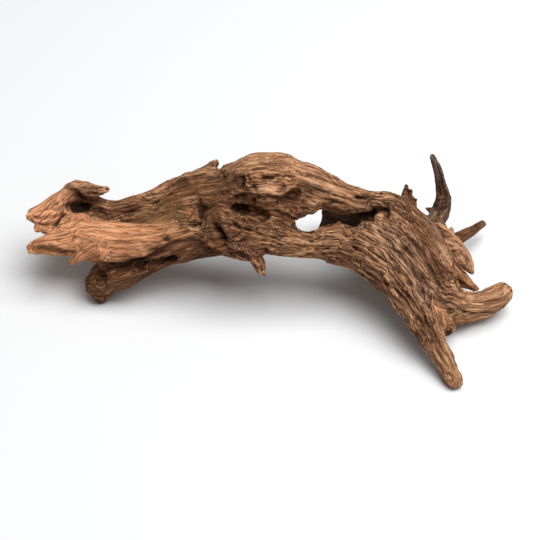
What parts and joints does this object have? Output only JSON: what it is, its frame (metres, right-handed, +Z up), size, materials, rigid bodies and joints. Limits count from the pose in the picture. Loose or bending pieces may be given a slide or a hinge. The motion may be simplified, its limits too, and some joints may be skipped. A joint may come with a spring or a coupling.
{
  "type": "mopani wood",
  "caption": "Weathered piece of mopani wood for an aquarium: a split, fluted trunk that arches over a hole and ends in a crown of roots.",
  "frame": {"origin": "middle of the bounding box, on the surface that the feet stand on", "axes": "+X along the trunk from the broken plank end to the roots, +Y from the front leg to the back root, +Z up"},
  "size_m": [0.4512, 0.2126, 0.1351],
  "materials": {
    "wood": "rough, weathered, fluted along the grain"
  },
  "bodies": {
    "root": {"mopani_wood": "wood"}
  },
  "joints": []
}
